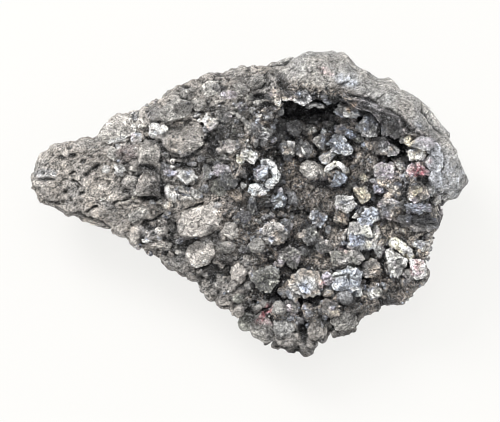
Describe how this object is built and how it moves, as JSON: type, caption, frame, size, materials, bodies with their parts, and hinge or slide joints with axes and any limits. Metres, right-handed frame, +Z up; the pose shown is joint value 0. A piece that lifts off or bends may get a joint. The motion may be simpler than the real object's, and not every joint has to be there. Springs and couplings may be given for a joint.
{
  "type": "proustite mineral specimen",
  "caption": "Wedge of grey host rock, broken flat beneath, with an open hollow lined with dark metallic proustite crystals and pale nodules on its shoulder.",
  "frame": {"origin": "under the middle of the specimen's box, on the plane that it rests on", "axes": "+X along the length, from the narrow nose towards the broad end; +Y from the low broken rim of the hollow towards its high back wall; +Z up"},
  "size_m": [0.1004, 0.0712, 0.038],
  "materials": {
    "host_rock": "rough broken grey rock, matt, gritty, slightly warm, bluish sheen on the rim of the hollow",
    "vug_crystals": "drusy crystals, steel grey to near black, metallic to adamantine, with pale, cream, ruby and blue facets",
    "pale_nodule": "pale grey crackled mineral, satin",
    "grey_nodule": "mid grey rough mineral, weakly shiny",
    "pale_crystal": "light grey crystal, glassy to metallic"
  },
  "bodies": {
    "root": {"host_rock": "host_rock", "vug_crystals": "vug_crystals", "large_pale_nodule": "pale_nodule", "lower_pale_nodule": "pale_nodule", "small_pale_nodule": "pale_nodule", "twin_nodule_upper": "grey_nodule", "twin_nodule_lower": "grey_nodule", "grey_knob": "grey_nodule", "ringed_crystal": "pale_crystal", "chipped_crystal": "pale_crystal", "bright_crystal": "pale_crystal", "pale_square_crystal": "pale_crystal", "nose_crystal": "pale_crystal"}
  },
  "joints": []
}
